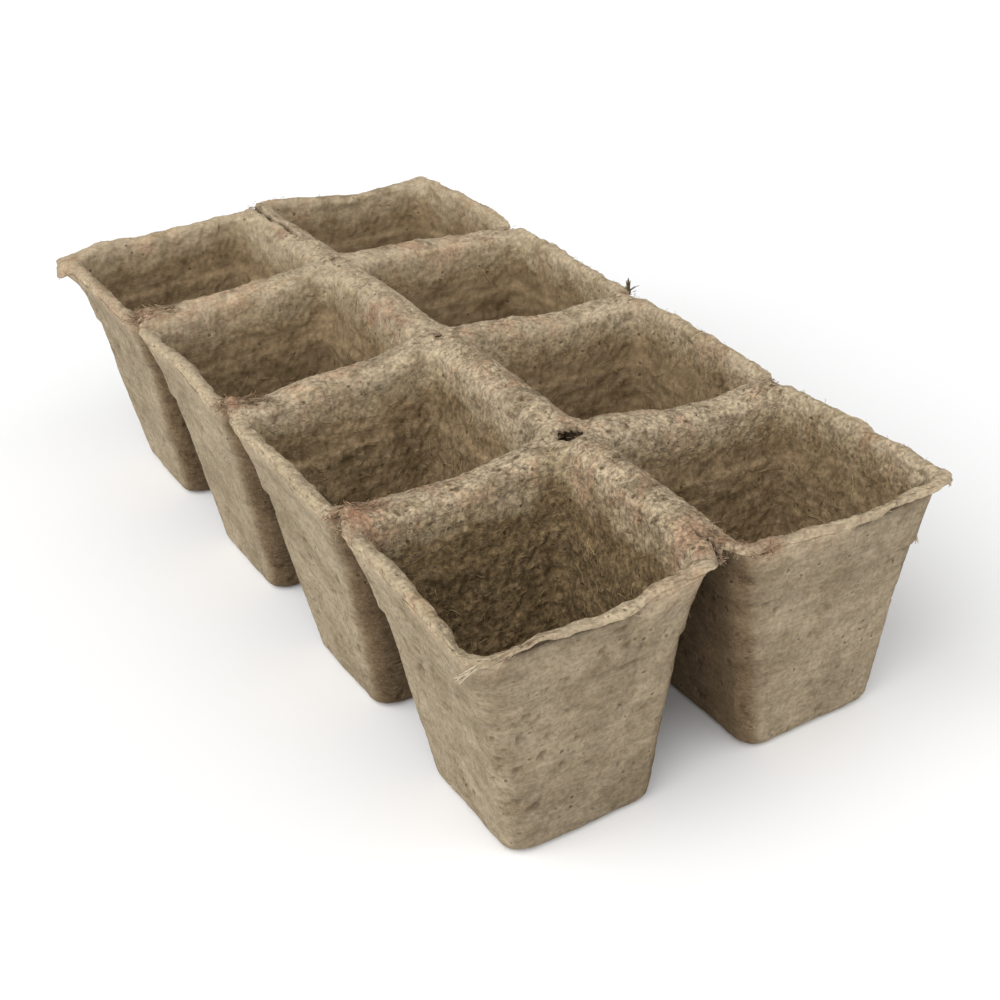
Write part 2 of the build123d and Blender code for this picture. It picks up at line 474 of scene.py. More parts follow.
# A torn end, the groove along the middle and the crack's course, as layers of noise
TORN_EDGE, TORN_SPREAD = ((3.1, 1.6, 71), (1.3, 0.8, 72)), 9
GROOVES, GROOVE_DEPTH = (-0.3, 0.5, (9, 1, 73)), 0.35
CRACK_COURSE, CRACK_SIDE, CRACK_DEPTH = ((7, 0.8, 74),), (1.2, 0.4), 2.2
# Length over which a torn end thins out, and its thickness there
THIN_LENGTH, THIN_END = 3.0, 0.9

# Points around a patch, rings over its top, and the ragged outline of its hole
PATCH_POINTS, PATCH_RINGS = 144, 12
HOLE_EDGE = ((2.3, 0.9, 75), (1.1, 0.5, 76))
LEAST_HOLE, LEAST_PATCH = 0.3, 0.8
# How far the fibre droops around the hole, over which length, and how much thicker it is than a web
HOLE_DROOP, DROOP_LENGTH, PATCH_EXTRA = 0.7, 0.9, 0.4


def web_strip(axis, line, span, outer, sides, crack):
    """The skin of a tear web between two rims, as a grid of rings around the web and sections along it.

    The web runs along an axis over a span, about a line on the other axis, between two shares of its half
    width. An outer end is torn, follows the rims' rounded corners and thins out. The crack opens towards the
    low and the high end, each over a share of the length, and lies to one side by a share of the half width.
    Returns the crack's share at each point too.
    """
    share = np.linspace(0, 1, round((span[1] - span[0]) / WEB_SPACING))[:, None]
    side = np.linspace(*sides, WEB_STEPS)[None, :]

    def laid(along, across):
        """Points at places along and across the web, seen from above."""
        points = np.zeros((*np.broadcast(along, across).shape, 3))
        points[..., axis] = along
        points[..., 1 - axis] = line + across
        return points

    ends = []
    for end, is_outer, inward in zip(span, outer, (1, -1)):
        bite = layers(laid(end + 0 * side, side * TORN_SPREAD), TORN_EDGE) if is_outer else 0 * side
        ends.append(end + inward * np.abs(bite))
    along = ends[0] + (ends[1] - ends[0]) * share
    to_edge = (TRAY_HALF_X, TRAY_HALF_Y)[axis] - np.abs(along)
    past = np.clip(RIM_CORNER - to_edge, 0, RIM_CORNER - 0.1)
    width = WEB_HALF + (RIM_CORNER - np.sqrt(RIM_CORNER ** 2 - past ** 2))
    top = laid(along, side * width)
    groove = smooth(1.0, 0.0, np.abs(side * width)) * patches(top, GROOVES)
    course = layers(laid(along, 0 * along), CRACK_COURSE) + crack[2] * WEB_HALF
    reaches = [(reach, at) for reach, at in zip(crack, (share, 1 - share)) if reach > 0]
    opened = sum(smooth(reach + 0.01, 0.5 * reach, at) for reach, at in reaches)
    cleft = np.clip(opened, 0, 1) * smooth(*CRACK_SIDE, np.abs(side * width - course))
    thick = np.ones(along.shape)
    for end, is_outer in zip(ends, outer):
        if is_outer:
            thick = thick * smooth(0, THIN_LENGTH, np.abs(along - end) + 0.1 * THIN_LENGTH)
    level = HEIGHT + rim_rise(top) - CRACK_DEPTH * cleft
    bottom = top.copy()
    top[..., 2] = level - GROOVE_DEPTH * groove - (1 - thick) * THIN_END
    bottom[..., 2] = level - THIN_END - (WEB_THICKNESS - THIN_END) * thick
    strip = np.concatenate([top, bottom[:, ::-1]], 1)
    return warp(strip + tattered(strip)), np.concatenate([cleft, cleft[:, ::-1]], 1)


def crossing_patch(line, hole):
    """The skin of the fibre where four rims meet: rings from its edge over the top, down a hole and back."""
    angle = np.linspace(0, 2 * np.pi, PATCH_POINTS, endpoint=False)
    way = np.stack([np.cos(angle), np.sin(angle)], -1)
    turned = np.abs(way)
    to_end = (PITCH / 2 - WEB_HALF_LENGTH) / turned.max(1)
    to_side = np.where(turned.min(1) > 1e-6, WEB_HALF / np.maximum(turned.min(1), 1e-6), np.inf)
    centre = WEB_HALF + RIM_CORNER
    near = turned.sum(1) * centre
    inside = near ** 2 - 2 * centre ** 2 + RIM_CORNER ** 2
    to_arc = np.where(inside > 0, near - np.sqrt(np.maximum(inside, 0)), np.inf)
    outer = np.minimum(to_end, np.where(to_side * turned.max(1) < centre, to_arc, to_side))

    ragged = layers(np.stack([*(way * hole).T, angle * 0], -1), HOLE_EDGE)
    inner = np.clip(hole + ragged * min(1.0, hole / 2), LEAST_HOLE, outer - LEAST_PATCH)
    radius = inner + (outer - inner) * np.linspace(1, 0, PATCH_RINGS)[:, None]
    flat = np.zeros((*radius.shape, 3))
    flat[..., :2] = radius[..., None] * way
    flat[..., 1] += line
    level = HEIGHT + rim_rise(flat)
    droop = np.exp(-(radius - inner) / DROOP_LENGTH)
    top, bottom = flat.copy(), flat[::-1].copy()
    top[..., 2] = level - HOLE_DROOP * droop
    bottom[..., 2] = (level - WEB_THICKNESS - PATCH_EXTRA + PATCH_EXTRA * droop)[::-1]
    return warp(np.concatenate([top, bottom]))


# Meshes

def grid_faces(rings, columns, close_rings=True):
    """Four-sided faces of a grid that closes around the columns, and if told so around the rings."""
    index = np.arange(rings * columns).reshape(rings, columns)
    right = np.roll(index, -1, 1)
    faces = np.stack([index, right, np.roll(right, -1, 0), np.roll(index, -1, 0)], -1)
    return (faces if close_rings else faces[:-1]).reshape(-1, 4)


def end_faces(rings, columns):
    """Four-sided faces that close the two ends of a strip, between its top and its bottom."""
    half = columns // 2
    near = np.array([(i, columns - 1 - i, columns - 2 - i, i + 1) for i in range(half - 1)])
    return np.concatenate([near, (near + (rings - 1) * columns)[:, ::-1]])


def triangles(quads):
    """Two triangles for each four-sided face."""
    return quads[:, [0, 1, 2, 0, 2, 3]].reshape(-1, 3)


def flat_part(skin, faces, tint, grain):
    """A part of a piece from a grid of points, four-sided faces, and grids of colours and grain."""
    grain = np.broadcast_to(grain, skin.shape[:2])
    return skin.reshape(-1, 3), triangles(faces), np.dstack([tint, grain]).reshape(-1, 4)


def new_piece(name, parts, material, sharp_points=None):
    """A smooth mesh from parts in millimetres, each of points, triangles and a colour at each point.

    A fourth value of a colour is the strength of the grain there, which is 1 if it is left out.
    """
    first = np.cumsum([0] + [len(points) for points, *_ in parts])
    points = np.concatenate([points for points, *_ in parts])
    faces = np.concatenate([faces + start for (_, faces, _), start in zip(parts, first)])
    tints = [np.pad(tint, ((0, 0), (0, 4 - tint.shape[1])), constant_values=1) for *_, tint in parts]
    mesh = bpy.data.meshes.new(name)
    mesh.vertices.add(len(points))
    mesh.vertices.foreach_set("co", (points * MM).astype(np.float32).ravel())
    mesh.loops.add(faces.size)
    mesh.loops.foreach_set("vertex_index", faces.astype(np.int32).ravel())
    mesh.polygons.add(len(faces))
    mesh.polygons.foreach_set("loop_start", np.arange(0, faces.size, 3, dtype=np.int32))
    mesh.update(calc_edges=True)
    mesh.shade_smooth()
    colours = mesh.color_attributes.new("tint", "FLOAT_COLOR", "POINT")
    colours.data.foreach_set("color", np.concatenate(tints).astype(np.float32).ravel())
    if sharp_points is not None:
        ends = np.zeros(len(mesh.edges) * 2, np.int32)
        mesh.edges.foreach_get("vertices", ends)
        sharp = np.isin(ends, sharp_points).reshape(-1, 2).all(1)
        mesh.attributes.new("sharp_edge", "BOOLEAN", "EDGE").data.foreach_set("value", sharp)
    mesh.materials.append(material)
    piece = bpy.data.objects.new(name, mesh)
    bpy.context.scene.collection.objects.link(piece)
    return piece


# Colours of the moulding, as linear values

def linear(red, green, blue):
    """Linear colour of an 8-bit display colour."""
    value = np.array((red, green, blue)) / 255
    return np.where(value <= 0.04045, value / 12.92, ((value + 0.055) / 1.055) ** 2.4)


OUTER_TONE = linear(146, 132, 110)
OUTER_SHADE = linear(120, 106, 85)
INNER_TONE = linear(130, 110, 81)
INNER_DARK = linear(80, 64, 41)
BAND_TONE = linear(147, 131, 104)
LIP_TONE = linear(166, 150, 125)
FLECK_TONE = linear(174, 159, 131)
STAIN_TONE = linear(142, 103, 80)
PINK_TONE = linear(178, 145, 117)
TORN_TONE = linear(124, 85, 62)
# The next three colours are painted shade in pits and creases, painted shadow under free lips and in the
# webs' cracks, and painted shade in small cavities of the rims and ridges
MARK_SHADE_TONE = linear(75, 60, 43)
SHADOW_TONE = linear(50, 38, 27)
CAVITY_SHADE_TONE = linear(85, 69, 48)
STRAW_TONE = linear(169, 151, 112)
WISP_TONE = linear(194, 180, 155)
DARK_WISP_TONE = linear(100, 88, 64)
TUFT_TONES = [linear(130, 89, 67), linear(147, 108, 83), linear(99, 69, 52), linear(160, 131, 99)]

# Painted light against the shade deep in the pots: how much lighter the insides are low down, between two
# levels; and how much lighter they are than those of the front pot of column a
DEEP_PAINTED_LIGHT, DEEP_LEVELS = 0.50, (60, 25)
DARKEST_POT, OTHER_GAIN = "a4", np.array((0.34, 0.38, 0.50))
# Painted light: how much paler the outsides are on the left, the side that the light comes from
LEFT_PAINTED_LIGHT = np.array((0.09, 0.11, 0.12))
# Painted shade on walls that face another pot, where the gaps between the pots lie in shade: their colour as
# a share of the others' colour
FACING_SHADE_TONE = np.array((0.55, 0.47, 0.40))
# Shade of the outsides towards the base and under free rims, and the levels between which it fades
FOOT_SHADE, FOOT_LEVELS = 0.16, (30, 2)
RIM_SHADE, RIM_LEVELS = 0.16, (70, 79)

# Patches of colour on the rims and ridges, and how strongly they are laid on
WORN_PATCHES, WORN_SHARE = (0.0, 0.6, (9, 0.7, 58), (3, 0.5, 59)), 0.8
STAIN_PATCHES, STAIN_SHARE = (0.1, 0.95, (21, 1.0, 61), (6, 0.6, 62), (2.2, 0.45, 63)), 0.5
PINK_PATCHES, PINK_SHARE = (-0.3, 0.25, (7, 0.6, 88), (2.6, 0.4, 89)), 0.45
TORN_PATCHES, TORN_SHARE = (-0.35, 0.35, (5, 0.5, 79), (2, 0.4, 80)), 0.75
FLECKS, FLECK_SHARE = (0.25, 0.7, (2.2, 0.6, 81), (1.3, 0.5, 82)), 0.6
# Small cavities of the rims and ridges, darkened as painted shade
CAVITY_SHADE_PATCHES = (0.15, 0.65, (2.6, 0.6, 77), (1.5, 0.6, 78))
STAIN_STRETCH = (1, 1, 0.4)
# Colours of the outsides and insides, and the edges of lip and band, as layers of noise
OUTER_PATCHES = ((22, 0.5, 64), (7, 0.45, 65), (3.4, 0.35, 70), ((9, 9, 2), 0.25, 56))
INNER_PATCHES, SPECKLE, CLUMP_SHADE_SHARE = ((9, 0.26, 66),), ((1.7, 0.35, 67),), 0.55
LIP_EDGE = ((4, 0.2, 60),)
BAND_EDGE, BAND_FADE = ((14, 0.24, 68), (4.5, 0.18, 69), (1.9, 0.12, 57)), (0.34, 0.60)
# Strengths of the painted shade in pits and creases, the painted shadow under free lips and the painted
# shadow in the webs' cracks
MARK_SHADE_SHARE, LIP_SHADOW_SHARE, CLEFT_SHADOW_SHARE = 0.5, 0.85, 0.9
# Places on the rims and ridges that are pale and pinkish: place and reach
PINK_SPOTS = [
    (-42, 152, 16), (-40, 80, 20), (40, 78, 19), (30, -3, 20), (-40, 1, 18), (-50, -6, 10), (-66, -80, 12),
    (-38, -84, 12), (-76, -128, 12), (8, 90, 7),
]
# How coarse the fibre of the rims and ridges is, at places along Y
COARSE_PLACES, COARSE_THERE = (-TRAY_HALF_Y, -PITCH, 0, TRAY_HALF_Y), (1.15, 1.1, 0.8, 0.4)


def mix(first, second, share):
    """Between two colours, or two fields of colours, by a field of shares."""
    return first + (second - first) * np.clip(share, 0, 1)[..., None]


def pinkish(points):
    """Share of pale, pinkish fibre at each point."""
    share = np.zeros(points.shape[:-1])
    for x, y, reach in PINK_SPOTS:
        share = np.maximum(share, smooth(reach, reach / 4, away_from(points, x, y)))
    return share * patches(points, PINK_PATCHES)


def coarseness(points):
    """How coarse the fibre of the rims and ridges is at each point."""
    return np.interp(points[..., 1], COARSE_PLACES, COARSE_THERE)


def rim_tint(points, depth=0.0):
    """Colour of the rims and ridges. The depth is 0 on top, and rises down the inside."""
    free = (1 - ridge_fields(points)[0]) * smooth(0.3, 0.05, depth)
    wear_and_shade = WORN_SHARE - np.maximum(0.5 * free, 0.3 * smooth(0.1, 0.3, depth))
    stained = (STAIN_SHARE - 0.2 * free) * patches(points * STAIN_STRETCH, STAIN_PATCHES)
    coarse = coarseness(points)
    tone = mix(LIP_TONE, BAND_TONE, smooth(0.0, 0.25, depth + layers(points, LIP_EDGE)))
    tone = mix(tone, OUTER_SHADE, wear_and_shade * patches(points, WORN_PATCHES))
    tone = mix(tone, STAIN_TONE, stained * smooth(0.75, 0.1, depth))
    tone = mix(tone, PINK_TONE, PINK_SHARE * pinkish(points) * smooth(0.45, 0.05, depth))
    tone = mix(tone, TORN_TONE, TORN_SHARE * near_torn_end(points) * patches(points, TORN_PATCHES))
    tone = mix(tone, FLECK_TONE, FLECK_SHARE * coarse * patches(points, FLECKS))
    # The worn patches are the fibre's own tone, and the cavities are painted shade
    return mix(tone, CAVITY_SHADE_TONE, wear_and_shade * coarse * patches(points, CAVITY_SHADE_PATCHES))


def pot_tint(pot, points, zones):
    """Colour of a pot at each point of its skin."""
    level = points[..., 2]
    outer = mix(OUTER_TONE, OUTER_SHADE, 0.5 + layers(points, OUTER_PATCHES))
    # Painted light on the outsides that face left
    outer = outer * (1 + LEFT_PAINTED_LIGHT * zones["left"][..., None])
    shade = FOOT_SHADE * smooth(*FOOT_LEVELS, level)
    shade = shade + RIM_SHADE * zones["free"] * smooth(*RIM_LEVELS, level)
    outer = outer * (1 - shade * (1 - zones["flush"]))[..., None]
    # Painted shade in the pits and creases
    outer = mix(outer, MARK_SHADE_TONE, MARK_SHADE_SHARE * zones["mark"])
    # Painted shadow under the free lips
    outer = mix(outer, SHADOW_TONE, LIP_SHADOW_SHARE * zones["under_lip"])
    outer = mix(outer, rim_tint(points), zones["rolled"])
    # Painted shade on the walls that face another pot, in the gaps between the pots
    outer = mix(outer, outer * FACING_SHADE_TONE, zones["gap_shade"])
    speckle = INNER_COARSE[pot[1]] * COLUMN_COARSE[pot[0]] * layers(points, SPECKLE)
    # Inside, lighter on raised clumps and darker in the hollows between them as painted shade; the patches
    # and speckle are the fibre's own mottle
    light = 0.5 + CLUMP_SHADE_SHARE * zones["clump"] + layers(points, INNER_PATCHES) + speckle
    # Painted light low inside the pots, against the shade deep down in them
    gain = DEEP_PAINTED_LIGHT * smooth(*DEEP_LEVELS, level)[..., None] + OTHER_GAIN * (pot != DARKEST_POT)
    inner = mix(INNER_DARK, INNER_TONE, light) * (1 + gain)
    depth = zones["place"] - KEY["mouth"] + layers(points, BAND_EDGE)
    within = mix(rim_tint(points, depth), inner, smooth(*BAND_FADE, depth))
    return mix(outer, within, smooth(KEY["lip_root"], KEY["lip_low"], zones["place"]))


# Loose fibres

# Points along a strand, how much strands bend, and how far hairs spread from their way
STRAND_STEPS, STRAND_BEND, HAIR_SPREAD = 6, 0.09, 0.55
# Exponents that make straw-coloured strands rare or common
RARE, COMMON = 1.5, 0.7
# Lengths below which the steps of a skin's grid are taken to be no shorter
LEAST_STEP = 0.05
# Any direction that few strands share, to turn their tubes by
ASIDE = (0.31, 0.17, 0.93)
# How closely fibres of a tuft lie along X and Y, how far their starts are scattered, and how much they curl
TUFT_LIE, TUFT_SCATTER, TUFT_CURL = (3, 3), (1.2, 1.2), 0.12
# How closely fibres of a wisp keep to their way, how far their starts are scattered, and how much they curl
WISP_HOLD, WISP_SCATTER, WISP_CURL = 22, 0.25, 0.06


def skin_frame(skin):
    """The outward direction at each point of a skin, and the lengths of its steps along and across rings."""
    along = (np.roll(skin, -1, 1) - np.roll(skin, 1, 1)) / 2
    across = np.gradient(skin, axis=0)
    return unit(np.cross(along, across)), np.linalg.norm(along, axis=-1), np.linalg.norm(across, axis=-1)


def sampled(grid, ring, column):
    """Values of a grid at places between its points. The columns go round."""
    rings, columns = grid.shape[:2]
    ring = np.clip(ring, 0, rings - 1.001)
    low_ring, low_column = np.floor(ring).astype(int), np.floor(column).astype(int)
    u, v = column - low_column, ring - low_ring
    if grid.ndim == 3:
        u, v = u[..., None], v[..., None]
    left, right = low_column % columns, (low_column + 1) % columns
    lower = grid[low_ring, left] * (1 - u) + grid[low_ring, right] * u
    upper = grid[low_ring + 1, left] * (1 - u) + grid[low_ring + 1, right] * u
    return lower * (1 - v) + upper * v


def drawn_starts(draw, chance, along, across, count):
    """Numbers of grid points, drawn by a field of chances for equal areas."""
    weight = (chance * along * across).ravel()
    return draw.choice(weight.size, count, p=weight / weight.sum())


def laid_strands(skin, draw, chance, count, length, radius, loose):
    """Paths of strands that lie on a skin, their radii and the grid points where they start.

    The chance of a start is a field on the grid. Loose strands lift off at one end, by up to this much.
    """
    columns = skin.shape[1]
    out, along, across = skin_frame(skin)
    start = drawn_starts(draw, chance, along, across, count)
    ring, column = start // columns + draw.random(count), start % columns + draw.random(count)
    heading = draw.uniform(0, 2 * np.pi, count)
    bend = draw.normal(0, STRAND_BEND, count)
    step = draw.uniform(*length, count) / (STRAND_STEPS - 1)
    thick = draw.uniform(*radius, count)
    lift = loose * draw.random(count) ** 4
    path = []
    for i in range(STRAND_STEPS):
        away = thick * 0.5 + lift * (i / (STRAND_STEPS - 1)) ** 2
        path.append(sampled(skin, ring, column) + sampled(out, ring, column) * away[:, None])
        column = column + step * np.cos(heading) / np.maximum(sampled(along, ring, column), LEAST_STEP)
        ring = ring + step * np.sin(heading) / np.maximum(sampled(across, ring, column), LEAST_STEP)
        heading = heading + bend * step
    return np.stack(path, 1), thick, start


def free_hairs(starts, ways, draw, length, radius, curl):
    """Paths of hairs that stand away from their starts, each roughly one way, and their radii."""
    count = len(starts)
    way = unit(ways + draw.normal(0, HAIR_SPREAD, (count, 3)))
    step = draw.uniform(*length, count)[:, None] / (STRAND_STEPS - 1)
    sway = draw.normal(0, curl, (count, 3))
    path = [starts]
    for _ in range(STRAND_STEPS - 1):
        path.append(path[-1] + way * step)
        way = unit(way + sway + draw.normal(0, curl / 2, (count, 3)))
    return np.stack(path, 1), draw.uniform(*radius, count)


def tubes(paths, thick, tints):
    """Three-sided tubes along paths, thinner towards their ends: points, triangles and colours."""
    count, steps = paths.shape[:2]
    way = unit(np.gradient(paths, axis=1))
    side = unit(np.cross(way, ASIDE))
    up = np.cross(side, way)
    taper = 0.3 + 0.7 * np.sin(np.pi * np.linspace(0.06, 0.94, steps)) ** 0.6
    size = (thick[:, None] * taper)[..., None, None]
    turn = np.arange(3) * 2 * np.pi / 3
    ring = side[:, :, None] * np.cos(turn)[:, None] + up[:, :, None] * np.sin(turn)[:, None]
    points = (paths[:, :, None] + ring * size).reshape(-1, 3)
    one = triangles(grid_faces(steps, 3, close_rings=False))
    last = 3 * (steps - 1)
    one = np.concatenate([one, [(2, 1, 0), (last, last + 1, last + 2)]])
    faces = (one[None] + np.arange(count)[:, None, None] * 3 * steps).reshape(-1, 3)
    return points, faces, np.repeat(tints, 3 * steps, 0)


def strand_tints(under, draw, straw, rarity=RARE):
    """Colours of strands: that of the skin under them, drawn towards straw by up to this much."""
    tone = mix(under, STRAW_TONE, straw * draw.random(len(under)) ** rarity)
    return tone * draw.uniform(0.85, 1.15, (len(under), 1))


def tuft(centres, tints, draw, count, length, radius, lie=TUFT_LIE, scatter=TUFT_SCATTER):
    """Torn fibres that lie loosely over some points, in colours near theirs."""
    pick = draw.integers(0, len(centres), count)
    starts = np.asarray(centres, float)[pick] + draw.normal(0, 1, (count, 3)) * (*scatter, 0.15)
    turn = draw.uniform(0, 2 * np.pi, count)
    ways = np.stack([np.cos(turn), np.sin(turn), draw.normal(0.03, 0.05, count)], -1) * (*lie, 3)
    paths, thick = free_hairs(starts, ways, draw, length, radius, TUFT_CURL)
    tones = np.array(TUFT_TONES)[draw.integers(0, len(TUFT_TONES), count)]
    return tubes(paths, thick, mix(tints[pick], tones, draw.uniform(0, 0.6, count)))


def wisp(start, way, draw, count, length, radius, tone):
    """A bundle of fibres that hang off one place, roughly one way."""
    way = unit(np.asarray(way, float))
    starts = np.asarray(start, float) - way + draw.normal(0, WISP_SCATTER, (count, 3))
    paths, thick = free_hairs(starts, np.tile(way * WISP_HOLD, (count, 1)), draw, length, radius, WISP_CURL)
    return tubes(paths, thick, tone * draw.uniform(0.8, 1.1, (count, 1)))


# Material

# Noises of the material: scale in 1/m, detail, and stretch along the axes
STRAND_NOISE = (1700, 1, (0.14, 1, 1))
GRAIN_NOISE = (800, 5)
SPECK_NOISE = (560, 2)
FLECK_NOISE = (900, 2, (0.55, 0.55, 1))
STREAK_NOISE = (620, 2, (0.22, 0.22, 1))
PIT_AREA_NOISE = (120, 1)
NOISE_ROUGHNESS = 0.6
PIT_SCALE = 230
# Turns of the four sets of fine strands about the axes
STRAND_TURNS = ((0.3, 0.2, 0.4), (1.1, 0.5, 1.7), (0.4, 1.3, 2.6), (2.0, 0.7, 0.9))
SPECK_COLOUR = (0.08, 0.055, 0.035, 1)
STRAND_COLOUR = (0.52, 0.43, 0.29, 1)
FLECK_COLOUR = (0.14, 0.115, 0.08, 1)
# How strongly the colour shows each of these
HALO_SHARE, PIT_SHADE_SHARE, SPECK_SHARE, STRAND_SHADE, FLECK_GAIN, FLECK_START = 0.10, 0.55, 1.6, 0.16, 1.1, 0.2
# Heights of grain, strands and specks next to the pits' depth, and the bump's strength and distance in metres
GRAIN_HEIGHT, STRAND_HEIGHT, SPECK_DEPTH = 0.7, 0.35, 0.4
BUMP_STRENGTH, BUMP_DISTANCE = 0.45, 0.0006
FIBRE_SURFACE = {"Roughness": 0.95, "Specular IOR Level": 0.12}


def fibre_material(name, contrast):
    """Matted fibre: the mesh's own tint, broken up by grain, strands and specks, with a rough surface."""
    material = bpy.data.materials.new(name)
    material.use_nodes = True
    tree = material.node_tree
    tree.nodes.clear()

    def node(kind, inputs, **settings):
        made = tree.nodes.new(kind)
        for key, value in settings.items():
            setattr(made, key, value)
        for socket, value in inputs.items():
            if isinstance(value, bpy.types.NodeSocket):
                tree.links.new(value, made.inputs[socket])
            else:
                made.inputs[socket].default_value = value
        return made

    def maths(operation, first, second):
        return node("ShaderNodeMath", {0: first, 1: second}, operation=operation).outputs[0]

    def times(first, second):
        return maths("MULTIPLY", first, second)

    def ranged(value, low, high, to_low=0.0, to_high=1.0):
        inputs = {0: value, 1: low, 2: high, 3: to_low, 4: to_high}
        return node("ShaderNodeMapRange", inputs, interpolation_type="SMOOTHSTEP").outputs["Result"]

    def blended(blend, share, first, second):
        inputs = {0: share, 6: first, 7: second}
        return node("ShaderNodeMix", inputs, data_type="RGBA", blend_type=blend).outputs[2]

    place = node("ShaderNodeTexCoord", {}).outputs["Object"]

    def noise_texture(scale, detail, stretch=None, turn=(0, 0, 0)):
        source = place
        if stretch:
            inputs = {"Rotation": turn, "Scale": stretch, "Vector": place}
            source = node("ShaderNodeMapping", inputs).outputs["Vector"]
        inputs = {"Scale": scale, "Detail": detail, "Roughness": NOISE_ROUGHNESS, "Vector": source}
        return node("ShaderNodeTexNoise", inputs).outputs["Fac"]

    strands = None
    for turn in STRAND_TURNS:
        strand = ranged(noise_texture(*STRAND_NOISE, turn), 0.62, 0.76)
        strands = strand if strands is None else maths("MAXIMUM", strands, strand)
    grain = noise_texture(*GRAIN_NOISE)
    speck = ranged(noise_texture(*SPECK_NOISE), 0.63, 0.73)
    fleck = ranged(noise_texture(*FLECK_NOISE), 0.60, 0.70)
    streak = noise_texture(*STREAK_NOISE)
    cells = node("ShaderNodeTexVoronoi", {"Scale": PIT_SCALE, "Vector": place})
    from_cell = maths("ADD", cells.outputs["Distance"], times(grain, 0.25))
    pit_area = ranged(noise_texture(*PIT_AREA_NOISE), 0.5, 0.58)
    pit = times(ranged(from_cell, 0.30, 0.20), pit_area)
    halo = times(ranged(from_cell, 0.46, 0.32), pit_area)

    # Colour
    paint = node("ShaderNodeVertexColor", {}, layer_name="tint")
    strength = times(paint.outputs["Alpha"], contrast)
    grey = maths("ADD", 1.0, times(strength, ranged(grain, 0.3, 0.7, -1, 1)))
    grey = times(grey, ranged(streak, 0.35, 0.65, 1 - contrast / 3, 1 + contrast / 3))
    grey = times(grey, maths("ADD", 1.0, times(halo, HALO_SHARE)))
    # Painted shade in the pits
    grey = times(grey, maths("SUBTRACT", 1.0, times(pit, PIT_SHADE_SHARE)))
    colour = blended("MULTIPLY", 1.0, paint.outputs["Color"], grey)
    colour = blended("MIX", times(speck, times(strength, SPECK_SHARE)), colour, SPECK_COLOUR)
    colour = blended("MIX", times(strands, STRAND_SHADE), colour, STRAND_COLOUR)
    pale = times(fleck, times(maths("SUBTRACT", strength, FLECK_START), FLECK_GAIN))
    colour = blended("ADD", maths("MAXIMUM", pale, 0.0), colour, FLECK_COLOUR)

    # Relief finer than the mesh
    height = maths("ADD", times(grain, GRAIN_HEIGHT), times(strands, STRAND_HEIGHT))
    height = maths("SUBTRACT", height, times(speck, SPECK_DEPTH))
    height = maths("SUBTRACT", height, pit)
    strength = times(paint.outputs["Alpha"], BUMP_STRENGTH)
    bump = node("ShaderNodeBump", {"Strength": strength, "Distance": BUMP_DISTANCE, "Height": height})
    surface = {**FIBRE_SURFACE, "Base Color": colour, "Normal": bump.outputs["Normal"]}
    shader = node("ShaderNodeBsdfPrincipled", surface)
    node("ShaderNodeOutputMaterial", {"Surface": shader.outputs["BSDF"]})
    return material


matted_fibre = fibre_material("matted_fibre", 0.20)
loose_fibre = fibre_material("loose_fibre", 0.12)


# Pots

# Strength of the grain on ridges, on free rims and inside the pots of each row, where it is 1 on the outsides
RIM_GRAIN, FREE_GRAIN = 1.9, 1.1
INNER_GRAIN = {"1": 0.6, "2": 0.8, "3": 1.3, "4": 2.2}
# Share of the full number of loose strands on the pots of each row
STRAND_SHARE = {"1": 0.15, "2": 0.25, "3": 0.6, "4": 1.0}
# Strands matted into a pot: where they lie, full number, lengths, radii, lift at one end, and how far and how
# often they are straw-coloured
POT_STRANDS = (
    ("inside", 2600, (1.5, 4.5), (0.06, 0.15), 0.5, 0.40, RARE),
    ("inside", 260, (1.8, 5.5), (0.10, 0.20), 0.6, 1.0, COMMON),
    ("inside", 40, (4, 10), (0.12, 0.22), 1.0, 1.0, COMMON),
    ("rim", 600, (1.5, 6), (0.06, 0.14), 0.5, 0.45, RARE),
    ("outside", 140, (1.5, 5), (0.05, 0.10), 1.2, 0.4, RARE),
)
# Share of the rim's strands on the lip, and the lowest level of strands outside
LIP_STRANDS, LEAST_STRAND_LEVEL = 0.6, 8
# Hairs along free rims: number, hold to their way, how far they are straw-coloured, lengths, radii and curl
RIM_HAIRS, HAIR_HOLD, HAIR_STRAW = 60, 0.8, 0.5
HAIR_SHAPE = ((0.6, 2.0), (0.05, 0.10), 0.22)
# Bundles of fibre that hang off corners: pot, place on section, corner, way, number, lengths, radii, colour
WISPS = (
    ("a4", "lip_low", (-1, -1), (-0.95, 0.1, -0.4), 22, (3.5, 6.5), (0.14, 0.28), WISP_TONE),
    ("b4", "lip_low", (1, -1), (0.1, 0.2, -1.0), 8, (1.5, 3.5), (0.10, 0.20), WISP_TONE),
    ("b4", "shoulder_top", (1, -0.9), (0.3, 0.1, -1.0), 10, (2.0, 4.5), (0.08, 0.18), WISP_TONE),
    ("b2", "lip_top", (1, -0.95), (0.0, 0.1, 1.0), 16, (3.0, 6.0), (0.12, 0.26), DARK_WISP_TONE),
    ("b2", "lip_top", (1, -0.95), (1.0, 0.0, 0.3), 4, (3.0, 5.0), (0.08, 0.14), DARK_WISP_TONE),
)
# Torn fibres on a pot's rim: number, lengths and radii
TORN_FIBRES = (160, (0.8, 2.6), (0.06, 0.15))
FIRST_POT_SEED, WEB_SEED = 100, 7


